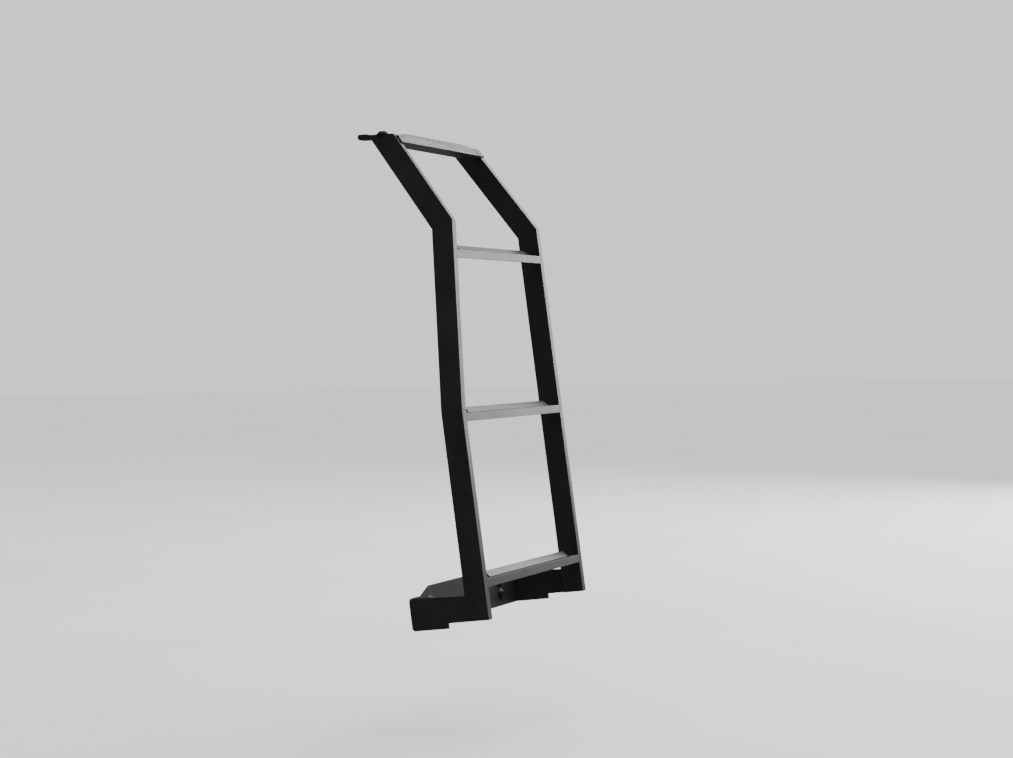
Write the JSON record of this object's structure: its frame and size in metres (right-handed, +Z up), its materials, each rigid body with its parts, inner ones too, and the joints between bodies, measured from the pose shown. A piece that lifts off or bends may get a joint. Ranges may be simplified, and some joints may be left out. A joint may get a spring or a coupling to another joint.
{
  "type": "vehicle ladder",
  "caption": "Black steel ladder for a vehicle's rear door: flat tube rails with a kneed top, folded rungs, hooks over the door and a bracket that bolts on below.",
  "frame": {"origin": "centre of the door side of the lower bracket's back plate, midway between the rails", "axes": "+X to the climber's right, +Y towards the door, +Z up along the straight rails; on the vehicle the whole part leans 7.1 degrees towards the door about X"},
  "size_m": [0.4458, 0.1979, 0.9637],
  "materials": {
    "black_coat": "satin powder coat",
    "rubber": "dull black rubber"
  },
  "bodies": {
    "root": {"left_lower_rail": "black_coat", "left_middle_rail": "black_coat", "left_upper_rail": "black_coat", "right_lower_rail": "black_coat", "right_upper_rail": "black_coat", "left_bottom_cap": "black_coat", "right_bottom_cap": "black_coat", "lower_rung": "black_coat", "middle_rung": "black_coat", "upper_rung": "black_coat", "top_plate": "black_coat", "right_end_tab": "black_coat", "left_arm": "black_coat", "right_arm": "black_coat", "back_plate": "black_coat", "left_hook": "black_coat", "right_hook": "black_coat", "left_hook_sleeve": "rubber", "right_hook_sleeve": "rubber"}
  },
  "joints": []
}
